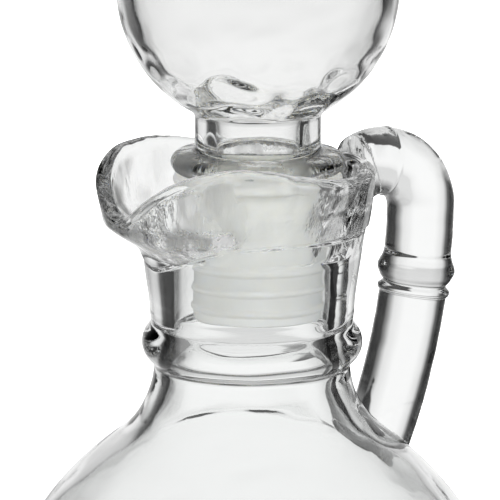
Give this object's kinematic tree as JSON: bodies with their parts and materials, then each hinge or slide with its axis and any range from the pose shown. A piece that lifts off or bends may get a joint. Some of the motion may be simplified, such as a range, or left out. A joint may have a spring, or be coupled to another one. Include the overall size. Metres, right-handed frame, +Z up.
{
  "type": "glass oil cruet",
  "caption": "Clear glass oil or vinegar cruet with a round belly, ringed neck, flared pouring lip, looped rod handle and a hollow ball stopper in a plastic sealing sleeve.",
  "frame": {"origin": "centre of the foot's resting plane, on the axis of the bulb", "axes": "+Z up, out of the neck; the spout points along -X and the handle is on the +X side"},
  "size_m": [0.084, 0.084, 0.1574],
  "materials": {
    "bottle_glass": "clear pressed and blown soda-lime glass with faint ripples, fire polished",
    "stopper_glass": "clear blown soda-lime glass, fire polished",
    "sleeve_plastic": "milky translucent polyethylene with a slightly warm tint"
  },
  "bodies": {
    "bottle": {"bottle_body": "bottle_glass", "neck_ring": "bottle_glass", "handle": "bottle_glass", "handle_collar": "bottle_glass"},
    "sleeve": {"stopper_sleeve": "sleeve_plastic"},
    "stopper": {"stopper": "stopper_glass"}
  },
  "joints": [
    {"name": "stopper_lift", "type": "slide", "parent": "bottle", "child": "sleeve", "axis": [0, 0, 1], "range_m": [0, 0.06]},
    {"name": "stopper_turn", "type": "hinge", "parent": "sleeve", "child": "stopper", "pos_m": [0.001, 0, 0.1], "axis": [0, 0, 1], "continuous": true}
  ]
}
